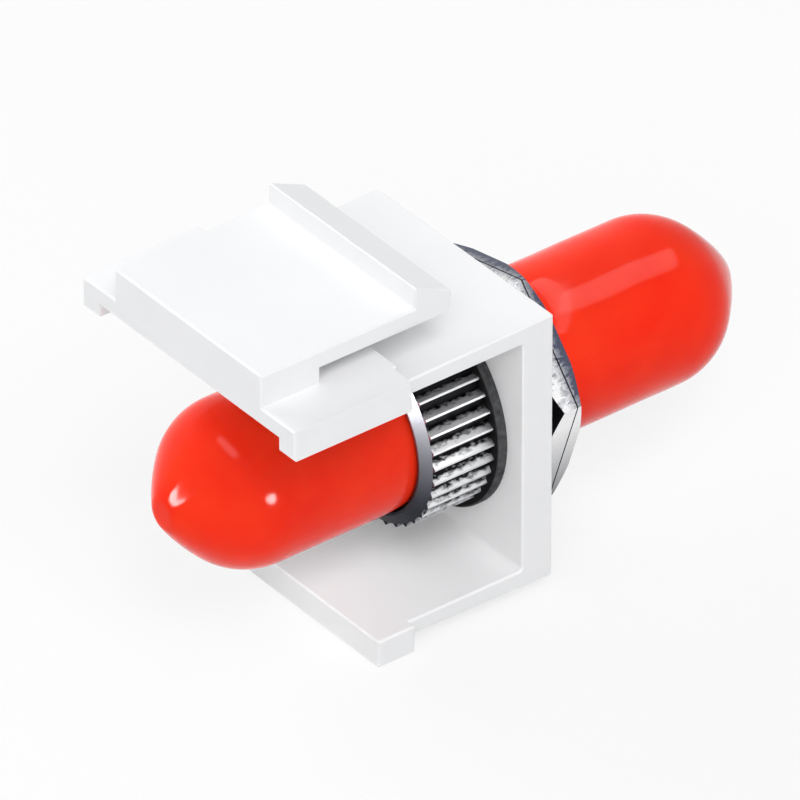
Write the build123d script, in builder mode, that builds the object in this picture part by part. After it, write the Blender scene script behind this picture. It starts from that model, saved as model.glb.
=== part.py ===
from build123d import *
import os
from math import cos, radians, sin, tan

# Fibre keystone jack: an ST to ST coupler screwed into a moulded keystone insert, with a dust cap on
# each port. The origin is on the coupler's axis, in the plane of the insert's room face. -Y points
# into the room, +Y to the cable side, +Z up. All sizes are in millimetres.

# Keystone insert, outside sizes
face_width = 14.5
face_height = 16.1
wall_thickness = 1.95
plate_thickness = 1.1
body_taper = 0.22
leg_length = 11.6

# Hook bar along the end of the leg
hook_length = 2.39
hook_overhang = 0.5
hook_drop = 0.75

# Shoulder plate that stops against the back of the outlet plate
shoulder_start = 9.95
shoulder_length = 7.72
shoulder_overhang = 1.55
shoulder_rise = 1.04
shoulder_thickness = 1.04
rail_width = 1.35
rail_drop = 0.75
neck_length = 2.2
ear_setback = 0.25

# Sprung latch arm above the shoulder plate
arm_width = 12.13
arm_thickness = 1.06
arm_gap = 0.85
arm_length = 8.42
root_length = 3.66
ridge_length = 2.35
ridge_height = 1.26
ridge_front_height = 0.2
arm_nose = 0.2

# Moulded edges: a small bevel outside, a small radius inside
edge_bevel = 0.1
inner_radius = 0.2

# Thread and the parts on it
thread_diameter = 9.5
flat_depth = 0.35
thread_recess = 1.5
hole_clearance = 0.1
washer_bore_clearance = 0.1
washer_margin = 0.38
rear_washer_thickness = 0.55
front_washer_thickness = 0.5
washer_bevel = 0.1

# Knurled nut
nut_wall = 0.81
nut_length = 4.2
nut_bore_clearance = 0.04
nut_stop_gap = 0.1
nut_cap_clearance = 0.08
nut_collar_length = 0.4
nut_collar_step = 0.18
nut_collar_bevel = 0.6
flute_count = 38
flute_start_angle = 3
flute_depth = 0.42
flute_angle = 90

# Hexagon, shared by the two halves of the coupler
hex_across_flats = 12.3
hex_thickness = 2.0
hex_front_share = 0.64
hex_angle = -11.2
hex_chamfer_start = 12.6
hex_chamfer_angle = 30
seam_groove = 0.08

# ST barrels
barrel_diameter = 7.2
barrel_length = 10.2
port_bore = 5.2
mouth_chamfer = 0.25
lug_diameter = 1.1
lug_span = 8.3
lug_setback = 1.9
keyway_width = 1.2
keyway_length = 5.0

# Register between the two halves, which also clamps the sleeve holder's collar
register_diameter = 6.8
register_depth = 1.5
collar_thickness = 0.7
register_clearance = 0.03

# Alignment sleeve and its holder
ferrule_bore = 2.49
sleeve_diameter = 3.2
sleeve_length = 10.9
sleeve_slot = 0.5
sleeve_clearance = 0.05
sleeve_float = 0.1
lip_bore = 2.8
lip_thickness = 0.6
lead_in = 0.35
retainer_thickness = 0.8
retainer_diameter = 3.7
holder_diameter = 4.2
holder_clearance = 0.03

# Dust caps, both from one mould: a cylinder, a rounded shoulder, a cone and a small flat end
cap_diameter = 9.2
cap_clearance = 0.05
cap_rim_gap = 0.1
cap_rim_bevel = 0.15
cap_corner_distance = 11.1
cap_end_distance = 14.1
cap_cone_angle = 51.4
cap_shoulder_radius = 4.0
cap_shoulder_steps = 4
cap_end_gap = 0.2
lug_channel_clearance = 0.08

# Places worked out from the sizes above
top = face_height / 2
half_width = face_width / 2
taper_per_mm = body_taper / leg_length
shoulder_end = shoulder_start + shoulder_length
shoulder_top = top + shoulder_rise
shoulder_bottom = shoulder_top - shoulder_thickness
neck_end = shoulder_start + neck_length
arm_bottom = shoulder_top + arm_gap
arm_top = arm_bottom + arm_thickness
root_front = shoulder_end - root_length
arm_front = root_front - arm_length
hook_start = leg_length - hook_length
nut_start = wall_thickness + rear_washer_thickness
nut_end = nut_start + nut_length
thread_end = nut_end - thread_recess
hex_back = -front_washer_thickness
hex_front = hex_back - hex_thickness
seam = hex_front + hex_front_share
rear_mouth = thread_end + barrel_length
front_mouth = hex_front - barrel_length
mating_plane = (rear_mouth + front_mouth) / 2
register_end = seam + register_depth
collar_start = register_end - collar_thickness
holder_half = (sleeve_length + sleeve_float + lip_thickness + retainer_thickness) / 2
holder_front = mating_plane - holder_half
holder_rear = mating_plane + holder_half


def section_at(y):
    """Plane across the coupler's axis at y, seen from the room: local x is +X and local y is +Z."""
    return Plane(origin=(0, y, 0), x_dir=(1, 0, 0), z_dir=(0, -1, 0))


def height_at(y):
    """Half height of the insert's tapered body at y."""
    return top - taper_per_mm * y


def outer_edges(part_in_progress):
    """Straight outer edges of a moulding, apart from those where the latch arm meets its root."""
    straight = part_in_progress.edges().filter_by(GeomType.LINE)
    outside = straight.filter_by(lambda edge: not edge.is_interior)
    return outside.filter_by(lambda edge: abs(edge.center().Y - root_front) > edge_bevel)


# Keystone housing: wall, top plate and leg as one bracket, seen from the side
with BuildPart() as keystone_housing:
    with BuildSketch(Plane.YZ):
        with BuildLine():
            Polyline(
                (0, -top),
                (0, top),
                (neck_end, height_at(neck_end)),
                (neck_end, height_at(0) - plate_thickness),
                (wall_thickness, height_at(0) - plate_thickness),
                (wall_thickness, plate_thickness - top),
                (leg_length, plate_thickness - top),
                (leg_length, -height_at(leg_length)),
                close=True,
            )
        make_face()
    extrude(amount=half_width, both=True)
    inner_corners = keystone_housing.edges().filter_by(lambda edge: edge.is_interior)
    fillet(inner_corners, radius=inner_radius)

    # Shoulder plate with a rail down each side
    with BuildSketch(section_at(shoulder_start + ear_setback)):
        outer = half_width + shoulder_overhang
        with BuildLine():
            Polyline(
                (-outer, shoulder_top),
                (outer, shoulder_top),
                (outer, shoulder_bottom - rail_drop),
                (outer - rail_width, shoulder_bottom - rail_drop),
                (outer - rail_width, shoulder_bottom),
                (rail_width - outer, shoulder_bottom),
                (rail_width - outer, shoulder_bottom - rail_drop),
                (-outer, shoulder_bottom - rail_drop),
                close=True,
            )
        make_face()
    extrude(amount=ear_setback - shoulder_length)

    # Neck: the shoulder's front step, carried down to the top plate
    neck_bottom = top - plate_thickness
    with BuildSketch(Plane.XY.offset(neck_bottom)):
        with Locations((0, (shoulder_start + neck_end) / 2)):
            Rectangle(face_width, neck_length)
    extrude(amount=shoulder_top - neck_bottom)

    # Root block that carries the latch arm
    with BuildSketch(Plane.XY.offset(shoulder_top)):
        with Locations((0, (root_front + shoulder_end) / 2)):
            Rectangle(arm_width, root_length)
    extrude(amount=arm_top - shoulder_top)

    # Hook bar across the end of the leg
    hook_bottom = -height_at(leg_length) - hook_drop
    with BuildSketch(Plane.XY.offset(hook_bottom)):
        with Locations((0, (hook_start + leg_length) / 2)):
            Rectangle(face_width + 2 * hook_overhang, hook_length)
    extrude(amount=plate_thickness - top - hook_bottom)

    chamfer(outer_edges(keystone_housing), length=edge_bevel)

    # D-shaped hole that stops the coupler from turning
    hole_radius = thread_diameter / 2 + hole_clearance
    hole_flat = thread_diameter / 2 - flat_depth + hole_clearance
    with BuildSketch(section_at(0)):
        Circle(hole_radius)
        with Locations((0, -hole_flat)):
            Rectangle(2 * hole_radius, hole_radius, align=(Align.CENTER, Align.MAX), mode=Mode.SUBTRACT)
    extrude(amount=-wall_thickness, mode=Mode.SUBTRACT)

# Latch arm: a flat spring with a wedge-shaped catch ridge across its free end
with BuildPart() as latch_arm:
    with BuildSketch(Plane.YZ):
        ridge_back = arm_front + ridge_length
        with BuildLine():
            Polyline(
                (root_front, arm_bottom),
                (root_front, arm_top),
                (ridge_back, arm_top),
                (ridge_back, arm_top + ridge_height),
                (arm_front, arm_top + ridge_front_height),
                (arm_front, arm_bottom + arm_nose),
                (arm_front + arm_nose, arm_bottom),
                close=True,
            )
        make_face()
    extrude(amount=arm_width / 2, both=True)
    chamfer(outer_edges(latch_arm), length=edge_bevel)


def hexagon_slice(chamfered_y, plain_y):
    """Slice of the coupler's hexagon, with its corners chamfered towards the face at chamfered_y."""
    flat_radius = hex_chamfer_start / 2
    cone_growth = abs(plain_y - chamfered_y) / tan(radians(hex_chamfer_angle))
    with BuildPart() as piece:
        with BuildSketch(section_at(chamfered_y)):
            RegularPolygon(hex_across_flats / 2, side_count=6, major_radius=False, rotation=hex_angle)
        extrude(amount=chamfered_y - plain_y)
        with BuildSketch(Plane.XY):
            with BuildLine():
                Polyline(
                    (0, chamfered_y),
                    (flat_radius, chamfered_y),
                    (flat_radius + cone_growth, plain_y),
                    (0, plain_y),
                    close=True,
                )
            make_face()
        revolve(axis=Axis.Y, mode=Mode.INTERSECT)
    return piece.part


def st_barrel(base_y, mouth_y):
    """ST bayonet barrel from base_y to its mouth, with two lugs and a keyway, not yet bored."""
    outward = 1 if mouth_y > base_y else -1
    radius = barrel_diameter / 2
    lug_y = mouth_y - outward * lug_setback
    with BuildPart() as piece:
        with BuildSketch(Plane.XY):
            with BuildLine():
                Polyline(
                    (0, base_y),
                    (radius, base_y),
                    (radius, mouth_y - outward * mouth_chamfer),
                    (radius - mouth_chamfer, mouth_y),
                    (0, mouth_y),
                    close=True,
                )
            make_face()
        revolve(axis=Axis.Y)
        with BuildSketch(Plane.YZ):
            with Locations((lug_y, 0)):
                Circle(lug_diameter / 2)
        extrude(amount=lug_span / 2, both=True)
        with BuildSketch(Plane.XY.offset(port_bore / 4)):
            with Locations((0, mouth_y - outward * keyway_length / 2)):
                Rectangle(keyway_width, keyway_length)
        extrude(amount=barrel_diameter, mode=Mode.SUBTRACT)
    return piece.part


def dust_cap(rim_y, outward):
    """Soft cap pulled over a barrel, from its rim towards outward (+1 or -1), grooved for the lugs."""
    radius = cap_diameter / 2
    inner = barrel_diameter / 2 + cap_clearance
    barrel_mouth_distance = barrel_length - cap_rim_gap
    cone_slope = tan(radians(cap_cone_angle))
    end_radius = radius - cone_slope * (cap_end_distance - cap_corner_distance)
    arc_start = cap_corner_distance - cap_shoulder_radius * tan(radians(cap_cone_angle / 2))
    shoulder = []
    for step in range(cap_shoulder_steps + 1):
        turn = radians(cap_cone_angle * step / cap_shoulder_steps)
        shoulder.append(
            (radius - cap_shoulder_radius * (1 - cos(turn)), arc_start + cap_shoulder_radius * sin(turn))
        )
    cavity_corner = barrel_mouth_distance + cap_end_gap
    cavity_end = cavity_corner + (inner - end_radius) / cone_slope
    profile = [
        (inner, 0),
        (radius - cap_rim_bevel, 0),
        (radius, cap_rim_bevel),
        *shoulder,
        (end_radius, cap_end_distance),
        (0, cap_end_distance),
        (0, cavity_end),
        (end_radius, cavity_end),
        (inner, cavity_corner),
    ]
    channel_length = barrel_mouth_distance - lug_setback + lug_diameter / 2 + lug_channel_clearance
    with BuildPart() as piece:
        with BuildSketch(Plane.XY):
            with BuildLine():
                Polyline(*[(r, rim_y + outward * distance) for r, distance in profile], close=True)
            make_face()
        revolve(axis=Axis.Y)
        channel_width = lug_diameter + 2 * lug_channel_clearance
        channel_span = lug_span + 2 * lug_channel_clearance
        with BuildSketch(section_at(rim_y)):
            Rectangle(channel_span, channel_width)
        extrude(amount=-outward * channel_length, mode=Mode.SUBTRACT)
    return piece.part


rear_hexagon = hexagon_slice(hex_back, seam)
front_hexagon = hexagon_slice(hex_front, seam)
rear_st_barrel = st_barrel(thread_end, rear_mouth)
front_st_barrel = st_barrel(hex_front, front_mouth)

# Rear body of the coupler: hexagon, threaded part with a flat along it, and the rear barrel
thread_radius = thread_diameter / 2
port_radius = port_bore / 2
holder_radius = holder_diameter / 2
holder_seat = holder_radius + holder_clearance
with BuildPart() as rear_body:
    with BuildSketch(section_at(hex_back)):
        Circle(thread_radius)
        with Locations((0, flat_depth - thread_radius)):
            Rectangle(
                thread_diameter, thread_radius, align=(Align.CENTER, Align.MAX), mode=Mode.SUBTRACT
            )
    extrude(amount=hex_back - thread_end)
    add(rear_hexagon)
    chamfer(rear_body.edges().filter_by(GeomType.LINE).group_by(Axis.Y)[0], length=seam_groove)
    add(rear_st_barrel)
    with BuildSketch(section_at(seam)):
        Circle(holder_seat)
    extrude(amount=seam - holder_rear, mode=Mode.SUBTRACT)
    with BuildSketch(section_at(holder_rear)):
        Circle(port_radius)
    extrude(amount=holder_rear - rear_mouth, mode=Mode.SUBTRACT)
    with BuildSketch(section_at(seam)):
        Circle(register_diameter / 2)
    extrude(amount=-register_depth, mode=Mode.SUBTRACT)

# Front barrel: the thin front slice of the hexagon, its spigot in the rear body, and the front barrel
with BuildPart() as front_barrel:
    spigot_radius = register_diameter / 2 - register_clearance
    with BuildSketch(section_at(seam)):
        Circle(spigot_radius)
    extrude(amount=seam - collar_start)
    add(front_hexagon)
    add(front_st_barrel)
    with BuildSketch(section_at(holder_front)):
        Circle(holder_seat)
    extrude(amount=holder_front - collar_start, mode=Mode.SUBTRACT)
    with BuildSketch(section_at(front_mouth)):
        Circle(port_radius)
    extrude(amount=front_mouth - holder_front, mode=Mode.SUBTRACT)

# Sleeve holder: a tube with a collar clamped in the register and a lip at its front end
sleeve_start = holder_front + lip_thickness
retainer_start = holder_rear - retainer_thickness
sleeve_room = sleeve_diameter / 2 + sleeve_clearance
with BuildPart() as sleeve_holder:
    with BuildSketch(section_at(holder_front)):
        Circle(holder_radius)
    extrude(amount=holder_front - holder_rear)
    with BuildSketch(section_at(collar_start)):
        Circle(register_diameter / 2 - register_clearance)
    extrude(amount=-collar_thickness)
    with BuildSketch(section_at(holder_front)):
        Circle(lip_bore / 2)
    extrude(amount=-lip_thickness, mode=Mode.SUBTRACT)
    with BuildSketch(section_at(sleeve_start)):
        Circle(sleeve_room)
    extrude(amount=sleeve_start - holder_rear, mode=Mode.SUBTRACT)
    with BuildSketch(section_at(retainer_start)):
        Circle(retainer_diameter / 2)
    extrude(amount=-retainer_thickness, mode=Mode.SUBTRACT)
    chamfer(
        sleeve_holder.edges().filter_by(GeomType.CIRCLE).group_by(Axis.Y)[0].sort_by(SortBy.RADIUS)[0],
        length=lead_in,
    )

# Sleeve retainer: the ring pressed into the holder's rear end
with BuildPart() as sleeve_retainer:
    with BuildSketch(section_at(retainer_start)):
        Circle(retainer_diameter / 2)
        Circle(lip_bore / 2, mode=Mode.SUBTRACT)
    extrude(amount=-retainer_thickness)
    chamfer(
        sleeve_retainer.edges().filter_by(GeomType.CIRCLE).group_by(Axis.Y)[-1].sort_by(SortBy.RADIUS)[0],
        length=lead_in,
    )

# Split sleeve that lines up the two ferrules
with BuildPart() as split_sleeve:
    with BuildSketch(section_at(sleeve_start + sleeve_float / 2)):
        Circle(sleeve_diameter / 2)
        Circle(ferrule_bore / 2, mode=Mode.SUBTRACT)
        with Locations((0, sleeve_diameter / 4)):
            Rectangle(sleeve_slot, sleeve_diameter, align=(Align.CENTER, Align.MIN), mode=Mode.SUBTRACT)
    extrude(amount=-sleeve_length)

# Knurled nut: a fluted ring that ends at a smooth conical collar, with a lip round the rear cap's rim
nut_bore = thread_radius + nut_bore_clearance
nut_lip = cap_diameter / 2 + nut_cap_clearance
nut_radius = max(nut_bore, nut_lip) + nut_wall
collar_radius = nut_radius - nut_collar_step
flute_end = nut_end - nut_collar_length
with BuildPart() as knurled_nut:
    with BuildSketch(section_at(nut_start)):
        Circle(nut_radius)
        flute_half_width = flute_depth * tan(radians(flute_angle / 2))
        with PolarLocations(nut_radius - flute_depth, flute_count, start_angle=flute_start_angle):
            Polygon(
                (0, 0),
                (2 * flute_depth, 2 * flute_half_width),
                (2 * flute_depth, -2 * flute_half_width),
                align=None,
                mode=Mode.SUBTRACT,
            )
    extrude(amount=nut_start - flute_end)
    with BuildSketch(Plane.XY):
        with BuildLine():
            Polyline(
                (0, flute_end),
                (collar_radius, flute_end),
                (collar_radius - nut_collar_bevel, nut_end),
                (0, nut_end),
                close=True,
            )
        make_face()
    revolve(axis=Axis.Y)
    with BuildSketch(section_at(nut_start)):
        Circle(nut_bore)
    extrude(amount=nut_start - thread_end - nut_stop_gap, mode=Mode.SUBTRACT)
    with BuildSketch(section_at(thread_end)):
        Circle(nut_lip)
    extrude(amount=thread_end - nut_end, mode=Mode.SUBTRACT)


def washer(low_y, thickness):
    """Flat washer for the thread, from low_y towards +Y, with its rear outer edge broken."""
    with BuildPart() as piece:
        with BuildSketch(section_at(low_y)):
            Circle(nut_radius + washer_margin)
            Circle(thread_radius + washer_bore_clearance, mode=Mode.SUBTRACT)
        extrude(amount=-thickness)
        outer_rims = piece.edges().filter_by(GeomType.CIRCLE).sort_by(SortBy.RADIUS)[-2:]
        chamfer(outer_rims.sort_by(Axis.Y)[-1], length=washer_bevel)
    return piece.part


rear_washer = washer(wall_thickness, rear_washer_thickness)
front_washer = washer(hex_back, front_washer_thickness)

# Dust caps, one on each barrel
rear_dust_cap = dust_cap(thread_end + cap_rim_gap, 1)
front_dust_cap = dust_cap(hex_front - cap_rim_gap, -1)

pieces = {
    "keystone_housing": keystone_housing.part,
    "latch_arm": latch_arm.part,
    "rear_body": rear_body.part,
    "front_barrel": front_barrel.part,
    "sleeve_holder": sleeve_holder.part,
    "sleeve_retainer": sleeve_retainer.part,
    "split_sleeve": split_sleeve.part,
    "rear_washer": rear_washer,
    "front_washer": front_washer,
    "knurled_nut": knurled_nut.part,
    "rear_dust_cap": rear_dust_cap,
    "front_dust_cap": front_dust_cap,
}

os.makedirs("parts", exist_ok=True)
for name, piece in pieces.items():
    piece.label = name
    export_step(piece, f"parts/{name}.step")
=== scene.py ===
from math import cos, pi, radians, sin

import bmesh
import bpy
from mathutils import Matrix, Vector


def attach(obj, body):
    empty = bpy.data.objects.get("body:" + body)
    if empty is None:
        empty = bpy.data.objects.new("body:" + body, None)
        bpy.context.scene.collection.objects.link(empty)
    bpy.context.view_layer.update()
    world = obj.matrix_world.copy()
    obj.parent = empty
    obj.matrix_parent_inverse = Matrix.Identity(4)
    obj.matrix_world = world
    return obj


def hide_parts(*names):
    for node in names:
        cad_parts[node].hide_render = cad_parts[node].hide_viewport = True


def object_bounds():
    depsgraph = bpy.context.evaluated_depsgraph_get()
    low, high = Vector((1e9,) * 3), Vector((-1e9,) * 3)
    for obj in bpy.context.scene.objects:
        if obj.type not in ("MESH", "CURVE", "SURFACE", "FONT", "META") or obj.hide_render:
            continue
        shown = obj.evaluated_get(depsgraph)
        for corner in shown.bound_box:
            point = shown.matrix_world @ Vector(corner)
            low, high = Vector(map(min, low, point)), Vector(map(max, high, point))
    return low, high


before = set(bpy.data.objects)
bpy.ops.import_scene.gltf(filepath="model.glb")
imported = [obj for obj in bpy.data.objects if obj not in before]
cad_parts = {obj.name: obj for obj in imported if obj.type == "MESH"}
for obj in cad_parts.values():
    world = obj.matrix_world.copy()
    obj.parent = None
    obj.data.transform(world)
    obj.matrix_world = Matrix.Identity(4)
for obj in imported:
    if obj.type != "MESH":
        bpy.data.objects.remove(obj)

cad_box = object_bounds()
MILLIMETRE = 0.001
MILLIMETRES_PER_METRE = 1000

# Camera: the photo's viewing direction, far enough away to be almost parallel
CAMERA_AZIMUTH = radians(232.22)
CAMERA_ELEVATION = radians(34.6)
CAMERA_DISTANCE = 0.797
PIXELS_PER_METRE = 19600
FRAME_PIXELS = 800
AXIS_ORIGIN_PIXEL = (465.1, 381.1)
SENSOR_WIDTH = 36.0
CAMERA_CLIP_START = 0.01
CAMERA_CLIP_END = 20

# Studio: the even light, and the floor, which shows partly as background white
AMBIENT = 0.37
AMBIENT_COLOUR = (0.965, 0.98, 1.0, 1)
WHITE = (1, 1, 1, 1)
FLOOR_WHITENESS = 0.75
FLOOR_HALF_SIZE = 3.0
FLOOR_SEEN_TONE = (0.88, 0.88, 0.88, 1)
FLOOR_BOUNCE_TONE = (0.68, 0.68, 0.68, 1)

# Mix node: places of its two colour inputs and of its colour output
MIX_COLOUR_INPUTS = (6, 7)
MIX_COLOUR_OUTPUT = 2

# Nearly black painted shade, shared by the two nickel materials
PAINTED_SHADE_BLACK = (0.012, 0.012, 0.014, 1)


def add_camera():
    """Places the camera so that the frame's origin lands on its pixel in the photo."""
    right = Vector((cos(CAMERA_AZIMUTH), sin(CAMERA_AZIMUTH), 0))
    back = Vector((
        sin(CAMERA_AZIMUTH) * cos(CAMERA_ELEVATION),
        -cos(CAMERA_AZIMUTH) * cos(CAMERA_ELEVATION),
        sin(CAMERA_ELEVATION),
    ))
    up = back.cross(right)
    middle = FRAME_PIXELS / 2
    offset_right = (AXIS_ORIGIN_PIXEL[0] - middle) / PIXELS_PER_METRE
    offset_up = (middle - AXIS_ORIGIN_PIXEL[1]) / PIXELS_PER_METRE
    camera = bpy.data.objects.new("camera", bpy.data.cameras.new("camera"))
    bpy.context.scene.collection.objects.link(camera)
    place = back * CAMERA_DISTANCE - right * offset_right - up * offset_up
    camera.matrix_world = Matrix.Translation(place) @ Matrix((right, up, back)).transposed().to_4x4()
    camera.data.sensor_width = SENSOR_WIDTH
    camera.data.lens = PIXELS_PER_METRE * CAMERA_DISTANCE / FRAME_PIXELS * SENSOR_WIDTH
    camera.data.clip_start = CAMERA_CLIP_START
    camera.data.clip_end = CAMERA_CLIP_END
    bpy.context.scene.camera = camera


def new_material(name, **values):
    """A Principled material with the given socket values, and its node tree and shader."""
    material = bpy.data.materials.new(name)
    material.use_nodes = True
    shader = material.node_tree.nodes["Principled BSDF"]
    for socket, value in values.items():
        shader.inputs[socket.replace("_", " ")].default_value = value
    return material, material.node_tree, shader


def add_noise(tree, scale, detail=2.0, stretch=(1, 1, 1)):
    """Noise over the object's own coordinates; scale is in lumps per metre."""
    place = tree.nodes.new("ShaderNodeTexCoord")
    mapping = tree.nodes.new("ShaderNodeMapping")
    mapping.inputs["Scale"].default_value = stretch
    noise = tree.nodes.new("ShaderNodeTexNoise")
    noise.inputs["Scale"].default_value = scale
    noise.inputs["Detail"].default_value = detail
    tree.links.new(place.outputs["Object"], mapping.inputs["Vector"])
    tree.links.new(mapping.outputs["Vector"], noise.inputs["Vector"])
    return noise


def add_ramp(tree, source, low_colour, high_colour, low=0.3, high=0.7):
    """Colour between two tones, driven by a texture."""
    ramp = tree.nodes.new("ShaderNodeValToRGB")
    ramp.color_ramp.elements[0].position = low
    ramp.color_ramp.elements[0].color = low_colour
    ramp.color_ramp.elements[1].position = high
    ramp.color_ramp.elements[1].color = high_colour
    tree.links.new(source, ramp.inputs["Fac"])
    return ramp


def add_bump(tree, shader, height, strength, distance):
    """Bump from a texture into the shader's normal."""
    bump = tree.nodes.new("ShaderNodeBump")
    bump.inputs["Strength"].default_value = strength
    bump.inputs["Distance"].default_value = distance
    tree.links.new(height, bump.inputs["Height"])
    tree.links.new(bump.outputs["Normal"], shader.inputs["Normal"])


def add_math(tree, operation, first, second=None):
    """Maths node; each input is a socket or a number."""
    node = tree.nodes.new("ShaderNodeMath")
    node.operation = operation
    for slot, value in enumerate((first, second)):
        if isinstance(value, bpy.types.NodeSocket):
            tree.links.new(value, node.inputs[slot])
        elif value is not None:
            node.inputs[slot].default_value = value
    return node.outputs[0]


def add_range(tree, source, low, high, low_result=0.0, high_result=1.0):
    """Source mapped from one range to another, held at its ends."""
    node = tree.nodes.new("ShaderNodeMapRange")
    limits = (("From Min", low), ("From Max", high), ("To Min", low_result), ("To Max", high_result))
    for socket, value in limits:
        node.inputs[socket].default_value = value
    tree.links.new(source, node.inputs["Value"])
    return node.outputs["Result"]


def add_vector(tree, operation, first, second=None):
    """Vector maths node; each input is a socket or three numbers."""
    node = tree.nodes.new("ShaderNodeVectorMath")
    node.operation = operation
    for slot, value in enumerate((first, second)):
        if isinstance(value, bpy.types.NodeSocket):
            tree.links.new(value, node.inputs[slot])
        elif value is not None:
            node.inputs[slot].default_value = value
    return node


def add_mix(tree, share, first, second):
    """Blend of two colours; each is a socket or four numbers."""
    node = tree.nodes.new("ShaderNodeMix")
    node.data_type = "RGBA"
    tree.links.new(share, node.inputs[0])
    for slot, value in zip(MIX_COLOUR_INPUTS, (first, second)):
        if isinstance(value, bpy.types.NodeSocket):
            tree.links.new(value, node.inputs[slot])
        else:
            node.inputs[slot].default_value = value
    return node.outputs[MIX_COLOUR_OUTPUT]


def split_vector(tree, vector):
    """The three parts of a vector, as sockets named X, Y and Z."""
    node = tree.nodes.new("ShaderNodeSeparateXYZ")
    tree.links.new(vector, node.inputs[0])
    return node.outputs


def axis_radius(tree):
    """Distance from the coupler's axis, in millimetres."""
    place = tree.nodes.new("ShaderNodeTexCoord").outputs["Object"]
    across = (MILLIMETRES_PER_METRE, 0, MILLIMETRES_PER_METRE)
    flat = add_vector(tree, "MULTIPLY", place, across).outputs[0]
    return add_vector(tree, "LENGTH", flat).outputs["Value"]


def white_plastic():
    """Satin white plastic with a very fine grain."""
    material, tree, shader = new_material("white_plastic", Roughness=0.38, IOR=1.46)
    clouds = add_noise(tree, 260, 2)
    tone = add_ramp(tree, clouds.outputs["Fac"], (0.885, 0.885, 0.892, 1), (0.9, 0.9, 0.905, 1))
    tree.links.new(tone.outputs["Color"], shader.inputs["Base Color"])
    grain = add_noise(tree, 9000, 2)
    add_bump(tree, shader, grain.outputs["Fac"], 0.12, 0.00001)
    return material


def red_vinyl():
    """Glossy dipped vinyl, slightly wavy, that throws only a little of its red on the white plastic."""
    material, tree, shader = new_material(
        "red_vinyl", Roughness=0.1, IOR=1.5, Specular_IOR_Level=0.09,
        Subsurface_Weight=0.12, Subsurface_Scale=0.001,
    )
    clouds = add_noise(tree, 350, 2)
    tone = add_ramp(tree, clouds.outputs["Fac"], (0.96, 0.023, 0.005, 1), (1.0, 0.037, 0.009, 1))
    rays = tree.nodes.new("ShaderNodeLightPath")
    bounce = add_mix(tree, rays.outputs["Is Diffuse Ray"], tone.outputs["Color"], (0.62, 0.56, 0.56, 1))
    tree.links.new(bounce, shader.inputs["Base Color"])
    waves = add_noise(tree, 240, 1)
    add_bump(tree, shader, waves.outputs["Fac"], 0.2, 0.00045)
    return material


def nickel_body():
    """Bright nickel with painted shade, darker towards the bottom and nearly black on the hexagon's faces
    that turn towards the wall; the hexagon is scuffed on top and stained along its front edge.
    """
    material, tree, shader = new_material("nickel_body", Metallic=1.0)
    place = tree.nodes.new("ShaderNodeTexCoord")
    where = split_vector(tree, place.outputs["Object"])
    facing = split_vector(tree, place.outputs["Normal"])
    # Painted shade and reflection: the nickel is painted darker towards the bottom and bright on top
    painted_light_and_shade = add_mix(
        tree, add_range(tree, where["Z"], -0.006, 0.0002), (0.1, 0.105, 0.115, 1), (0.84, 0.84, 0.85, 1)
    )
    strokes = add_noise(tree, 2600, 4, stretch=(1, 0.5, 1))
    strokes.inputs["Distortion"].default_value = 0.8
    on_hexagon = add_range(tree, axis_radius(tree), 5.5, 5.6)
    upper_side = add_math(tree, "MULTIPLY", add_range(tree, facing["Z"], 0.15, 0.5), on_hexagon)
    scuffed = add_math(tree, "MULTIPLY", add_range(tree, strokes.outputs["Fac"], 0.5, 0.62), upper_side)
    tone = add_mix(tree, scuffed, painted_light_and_shade, (0.3, 0.31, 0.35, 1))
    wander = add_range(tree, strokes.outputs["Fac"], 0.3, 0.7, -0.0004, 0.0004)
    front_edge = add_range(tree, add_math(tree, "ADD", where["Y"], wander), -0.0013, -0.0022)
    tone = add_mix(tree, add_math(tree, "MULTIPLY", front_edge, upper_side), tone, (0.08, 0.088, 0.13, 1))
    # Painted shade: the hexagon's faces and chamfer that turn towards the wall are painted nearly black
    painted_shade_chamfer = add_math(tree, "MULTIPLY", add_range(tree, facing["Y"], 0.4, 0.7), on_hexagon)
    tone = add_mix(tree, painted_shade_chamfer, tone, PAINTED_SHADE_BLACK)
    tree.links.new(tone, shader.inputs["Base Color"])
    fine = add_noise(tree, 7000, 3, stretch=(1, 4, 1))
    tree.links.new(add_range(tree, fine.outputs["Fac"], 0.3, 0.7, 0.16, 0.34), shader.inputs["Roughness"])
    add_bump(tree, shader, strokes.outputs["Fac"], 0.3, 0.00008)
    return material


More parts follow.
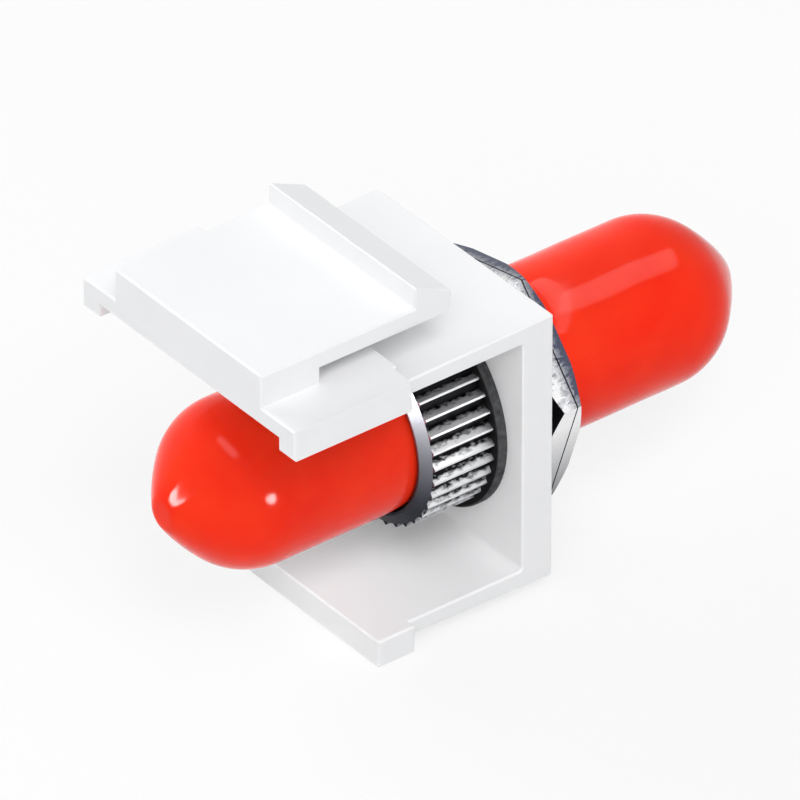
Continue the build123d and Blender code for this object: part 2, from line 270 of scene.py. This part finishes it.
def nickel_nut():
    """Nickel with painted light: a painted highlight on the upward flanks of its teeth, painted black
    shade in the flutes, and painted shade darker towards the bottom, on its flat face too.
    """
    material, tree, shader = new_material("nickel_nut", Metallic=1.0, Roughness=0.42)
    place = tree.nodes.new("ShaderNodeTexCoord")
    where = split_vector(tree, place.outputs["Object"])
    facing = split_vector(tree, place.outputs["Normal"])
    radius = axis_radius(tree)
    above_axis = add_math(tree, "MULTIPLY", where["Z"], MILLIMETRES_PER_METRE)
    level = add_math(tree, "DIVIDE", above_axis, radius)
    # Painted highlight: flanks that face upwards stay bright, flanks that face clearly downwards are
    # painted dark
    upper_flank = add_range(tree, add_math(tree, "SUBTRACT", facing["Z"], level), -0.42, -0.25)
    blotches = add_noise(tree, 5200, 5, stretch=(1, 0.5, 1))
    wander = add_range(tree, blotches.outputs["Fac"], 0.3, 0.7, -0.12, 0.12)
    height = add_range(tree, where["Z"], -0.0042, 0.004)
    # Painted shade in the flutes: it reaches further out on the lower teeth, with a ragged edge
    painted_shade_reach = add_math(tree, "SUBTRACT", wander, add_range(tree, height, 0, 1, 0.17, -0.08))
    outward = add_range(tree, add_math(tree, "ADD", radius, painted_shade_reach), 5.24, 5.44)
    # Painted light and shade: bright only on upward flanks away from the flute bottoms
    painted_light_and_shade = add_math(tree, "MULTIPLY", outward, upper_flank)
    # Painted shade: the plating is painted darker towards the bottom
    plating_with_painted_shade = add_mix(tree, height, (0.42, 0.425, 0.44, 1), (0.92, 0.92, 0.93, 1))
    tone = add_mix(tree, painted_light_and_shade, PAINTED_SHADE_BLACK, plating_with_painted_shade)
    # Painted reflection on the nut's flat face: nearly black at the bottom, grey at the top
    on_face = add_range(tree, facing["Y"], 0.3, 0.6)
    bright = add_math(tree, "MULTIPLY", height, height)
    face_tone = add_mix(tree, bright, (0.01, 0.013, 0.022, 1), (0.56, 0.585, 0.64, 1))
    tree.links.new(add_mix(tree, on_face, tone, face_tone), shader.inputs["Base Color"])
    add_bump(tree, shader, blotches.outputs["Fac"], 0.2, 0.00006)
    return material


def black_washer():
    """Black washer, matt, with painted shade that makes its flat faces nearly black, and dark grey round
    its rim.
    """
    material, tree, shader = new_material("black_washer", Roughness=0.75, Specular_IOR_Level=0.12)
    clouds = add_noise(tree, 2600, 4)
    rim = add_ramp(tree, clouds.outputs["Fac"], (0.035, 0.035, 0.037, 1), (0.09, 0.09, 0.093, 1))
    # Painted shade: the flat faces inside the rim are painted nearly black
    outside = add_range(tree, axis_radius(tree), 5.87, 5.93)
    tone = add_mix(tree, outside, (0.004, 0.004, 0.005, 1), rim.outputs["Color"])
    tree.links.new(tone, shader.inputs["Base Color"])
    add_bump(tree, shader, clouds.outputs["Fac"], 0.3, 0.00003)
    return material


def brass():
    """Turned brass with fine rings."""
    material, tree, shader = new_material("brass", Metallic=1.0, Roughness=0.3)
    rings = add_noise(tree, 3000, 2, stretch=(1, 5, 1))
    tone = add_ramp(tree, rings.outputs["Fac"], (0.6, 0.42, 0.16, 1), (0.78, 0.6, 0.3, 1))
    tree.links.new(tone.outputs["Color"], shader.inputs["Base Color"])
    add_bump(tree, shader, rings.outputs["Fac"], 0.2, 0.00003)
    return material


def zirconia():
    """Polished white ceramic."""
    material, tree, shader = new_material("zirconia", Roughness=0.12, IOR=2.1, Subsurface_Weight=0.1)
    clouds = add_noise(tree, 1200, 2)
    tone = add_ramp(tree, clouds.outputs["Fac"], (0.88, 0.87, 0.82, 1), (0.94, 0.93, 0.9, 1))
    tree.links.new(tone.outputs["Color"], shader.inputs["Base Color"])
    return material


# Dust cap, in millimetres from its rim, with the sizes of the CAD caps. Each arc of its end has a
# radius, the angle at which it stops and a number of steps.
CAP_RADIUS = 4.6
CAP_BORE = 3.65
CAP_RIM_ROUNDING = 0.22
CAP_RIM_STEPS = 8
CAP_WALL_STEPS = 40
CAP_END = 14.1
CAP_ARCS = ((4.3, radians(44), 28), (14.0, radians(56.5), 16), (0.85, radians(90), 10))
CAP_TIP_RADIUS = 0.12
CAP_CAVITY_CORNER = 10.3
CAP_CAVITY_END = 12.54
CAP_CAVITY_END_RADIUS = 0.84
CAP_CAVITY_FLAT = 0.8
CAP_CAVITY_STEPS = 12
CAP_CHANNEL_LENGTH = 8.83
CAP_CHANNEL_RADIUS = 4.24
CAP_CHANNEL_HALF_WIDTH = 0.64
CAP_CHANNEL_STEPS = 24
CAP_CHANNEL_EDGE = 0.02
CAP_BORE_START = 0.05
CAP_SEGMENTS = 256

# Where the vinyl draws in towards its rim, and how its outside swells a little here and there
CAP_PINCH_LENGTH = 2.6
CAP_PINCH = 0.045
SWELL_SHARE = 0.0022
SWELL_LOBES = 3
SWELL_TWIST = 0.5
SWELL_PITCH = 0.9
SWELL_START = 1.3

# Places of the caps' rims along the coupler's axis, in metres
REAR_CAP_RIM = 0.0053
FRONT_CAP_RIM = -0.0026


def cap_outline():
    """Outer line of the cap from its rim to the middle of its end: distances from the rim and radii."""
    line = []
    for step in range(CAP_RIM_STEPS + 1):
        angle = radians(90) * step / CAP_RIM_STEPS
        line.append((
            CAP_RIM_ROUNDING * (1 - cos(angle)), CAP_RADIUS - CAP_RIM_ROUNDING * (1 - sin(angle))
        ))
    dome = [(0.0, 0.0)]
    angle = 0.0
    for radius, stop, steps in CAP_ARCS:
        start = angle
        along, inward = dome[-1]
        for step in range(1, steps + 1):
            angle = start + (stop - start) * step / steps
            dome.append((
                along + radius * (sin(angle) - sin(start)), inward + radius * (cos(start) - cos(angle))
            ))
    dome_start = CAP_END - dome[-1][0]
    wall_length = dome_start - CAP_RIM_ROUNDING
    for step in range(1, CAP_WALL_STEPS):
        line.append((CAP_RIM_ROUNDING + wall_length * step / CAP_WALL_STEPS, CAP_RADIUS))
    line += [(dome_start + along, CAP_RADIUS - inward) for along, inward in dome]
    line.append((CAP_END, CAP_TIP_RADIUS))
    return [
        (along, radius - CAP_PINCH * max(0.0, CAP_PINCH_LENGTH - along) ** 2)
        for along, radius in line
    ]


def cap_cavity():
    """Inner line of the cap from the middle of its end back to its rim."""
    line = [
        (CAP_CAVITY_END, CAP_TIP_RADIUS), (CAP_CAVITY_END, CAP_CAVITY_END_RADIUS * CAP_CAVITY_FLAT)
    ]
    for step in range(CAP_CAVITY_STEPS):
        part = step / CAP_CAVITY_STEPS
        line.append((
            CAP_CAVITY_END + (CAP_CAVITY_CORNER - CAP_CAVITY_END) * part,
            CAP_CAVITY_END_RADIUS + (CAP_BORE - CAP_CAVITY_END_RADIUS) * part,
        ))
    line.append((CAP_CAVITY_CORNER, CAP_BORE))
    line.append((CAP_CHANNEL_LENGTH + CAP_CHANNEL_EDGE, CAP_BORE))
    for step in range(CAP_CHANNEL_STEPS, 0, -1):
        line.append((CAP_CHANNEL_LENGTH * step / CAP_CHANNEL_STEPS, CAP_BORE))
    line.append((CAP_BORE_START, CAP_BORE))
    return line


def add_cap(name, node, body, rim, outward, material):
    """Dust cap turned from its outline, with the two lug channels pressed into its bore."""
    outline = cap_outline()
    cavity = cap_cavity()
    rings = outline + cavity
    mesh_maker = bmesh.new()
    rows = []
    for index, (distance, radius) in enumerate(rings):
        row = []
        for step in range(CAP_SEGMENTS):
            angle = radians(360) * step / CAP_SEGMENTS
            here = radius
            if index < len(outline):
                swell = sin(SWELL_LOBES * angle + SWELL_TWIST * distance)
                swell *= sin(SWELL_PITCH * distance + SWELL_START)
                here = radius * (1 - SWELL_SHARE * (1 + swell))
            elif distance <= CAP_CHANNEL_LENGTH:
                if abs(CAP_BORE * sin(angle)) < CAP_CHANNEL_HALF_WIDTH:
                    here = CAP_CHANNEL_RADIUS
            row.append(mesh_maker.verts.new((
                here * cos(angle) * MILLIMETRE,
                rim + outward * distance * MILLIMETRE,
                here * sin(angle) * MILLIMETRE,
            )))
        rows.append(row)
    for low, high in zip(rows, rows[1:] + rows[:1]):
        if low is rows[len(outline) - 1]:
            mesh_maker.faces.new(low)
            mesh_maker.faces.new(high)
            continue
        for step in range(CAP_SEGMENTS):
            after = (step + 1) % CAP_SEGMENTS
            mesh_maker.faces.new((low[step], low[after], high[after], high[step]))
    bmesh.ops.recalc_face_normals(mesh_maker, faces=mesh_maker.faces)
    mesh = bpy.data.meshes.new(name)
    mesh_maker.to_mesh(mesh)
    mesh_maker.free()
    mesh.materials.append(material)
    mesh.polygons.foreach_set("use_smooth", [True] * len(mesh.polygons))
    cap = bpy.data.objects.new(name, mesh)
    bpy.context.scene.collection.objects.link(cap)
    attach(cap, body)
    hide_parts(node)


def dress(material, *nodes):
    """Gives CAD nodes a material."""
    for node in nodes:
        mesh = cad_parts[node].data
        mesh.materials.clear()
        mesh.materials.append(material)


def add_floor():
    """A wide pale floor under the lowest point, keeping part of the object's shadow."""
    size = FLOOR_HALF_SIZE
    mesh = bpy.data.meshes.new("floor")
    low = cad_box[0].z
    corners = [(-size, -size, low), (size, -size, low), (size, size, low), (-size, size, low)]
    mesh.from_pydata(corners, [], [(0, 1, 2, 3)])
    floor = bpy.data.objects.new("floor", mesh)
    bpy.context.scene.collection.objects.link(floor)
    material, tree, shader = new_material("floor", Roughness=0.7)
    bounce = tree.nodes.new("ShaderNodeLightPath").outputs["Is Diffuse Ray"]
    tone = add_mix(tree, bounce, FLOOR_SEEN_TONE, FLOOR_BOUNCE_TONE)
    tree.links.new(tone, shader.inputs["Base Color"])
    seen = background_rays(tree)
    white = tree.nodes.new("ShaderNodeEmission")
    mix = tree.nodes.new("ShaderNodeMixShader")
    tree.links.new(add_math(tree, "MULTIPLY", seen, FLOOR_WHITENESS), mix.inputs["Fac"])
    tree.links.new(shader.outputs[0], mix.inputs[1])
    tree.links.new(white.outputs[0], mix.inputs[2])
    tree.links.new(mix.outputs[0], tree.nodes["Material Output"].inputs["Surface"])
    mesh.materials.append(material)


def add_lamp(name, place, size, radiance, roll=0.0):
    """Soft box at place, aimed at the object; size holds a width and a height, or one diameter."""
    light = bpy.data.lights.new(name, "AREA")
    if len(size) == 2:
        light.shape = "RECTANGLE"
        light.size, light.size_y = size
        area = size[0] * size[1]
    else:
        light.shape = "DISK"
        light.size = size[0]
        area = pi * size[0] ** 2 / 4
    light.energy = radiance * pi * area
    lamp = bpy.data.objects.new(name, light)
    bpy.context.scene.collection.objects.link(lamp)
    lamp.location = place
    aim = (-Vector(place)).to_track_quat("-Z", "Y").to_matrix()
    lamp.rotation_euler = (aim @ Matrix.Rotation(roll, 3, "Z")).to_euler()
    return lamp


def background_rays(tree):
    """1 for the rays that see the background: camera, glossy and transmission rays."""
    rays = tree.nodes.new("ShaderNodeLightPath").outputs
    seen = add_math(tree, "MAXIMUM", rays["Is Camera Ray"], rays["Is Glossy Ray"])
    return add_math(tree, "MAXIMUM", seen, rays["Is Transmission Ray"])


def add_world():
    """Even studio light, and a white background for the camera, reflections and glass."""
    world = bpy.data.worlds.new("studio")
    bpy.context.scene.world = world
    world.use_nodes = True
    tree = world.node_tree
    tree.nodes.clear()
    ambient = tree.nodes.new("ShaderNodeBackground")
    ambient.inputs["Color"].default_value = AMBIENT_COLOUR
    ambient.inputs["Strength"].default_value = AMBIENT
    white = tree.nodes.new("ShaderNodeBackground")
    white.inputs["Color"].default_value = WHITE
    white.inputs["Strength"].default_value = 1.0
    mix = tree.nodes.new("ShaderNodeMixShader")
    tree.links.new(background_rays(tree), mix.inputs["Fac"])
    tree.links.new(ambient.outputs[0], mix.inputs[1])
    tree.links.new(white.outputs[0], mix.inputs[2])
    output = tree.nodes.new("ShaderNodeOutputWorld")
    tree.links.new(mix.outputs[0], output.inputs["Surface"])


add_camera()
add_world()
add_floor()

# Fill lamps, left out of the reflections
for fill in (
    add_lamp("rear_fill", (-0.4, 0.42, 0.42), (0.5, 0.4), 2.3),
    add_lamp("left_fill", (-0.27, 0.06, 0.45), (0.3, 0.3), 3.9),
    add_lamp("right_fill", (0.6, 0.1, 0.2), (0.4, 0.3), 7.3),
):
    fill.visible_glossy = False

# Highlights alone: a bright shape in the gloss, with no light on the surfaces
for glint in (
    add_lamp("top_glint", (0.0205, 0.185, 0.473), (0.3, 0.14), 6.6),
    add_lamp("front_glint", (-0.0615, -0.256, 0.43), (0.22, 0.14), 5.5),
    add_lamp("tail_glint", (-0.03, -0.225, 0.5), (0.84, 0.09), 5.5),
    add_lamp("rear_spot", (0.09, 0.52, 0.165), (0.3, 0.04), 85, radians(-19)),
    add_lamp("left_spot", (-0.5, 0.035, 0.04), (0.11,), 70),
):
    glint.visible_diffuse = False

dress(white_plastic(), "keystone_housing", "latch_arm")
vinyl = red_vinyl()
add_cap("rear_cap_vinyl", "rear_dust_cap", "rear_cap", REAR_CAP_RIM, 1, vinyl)
add_cap("front_cap_vinyl", "front_dust_cap", "front_cap", FRONT_CAP_RIM, -1, vinyl)
dress(nickel_body(), "rear_body", "front_barrel")
dress(nickel_nut(), "knurled_nut")
dress(black_washer(), "rear_washer", "front_washer")
dress(brass(), "sleeve_holder", "sleeve_retainer")
dress(zirconia(), "split_sleeve")

bpy.context.scene.view_settings.view_transform = "Standard"
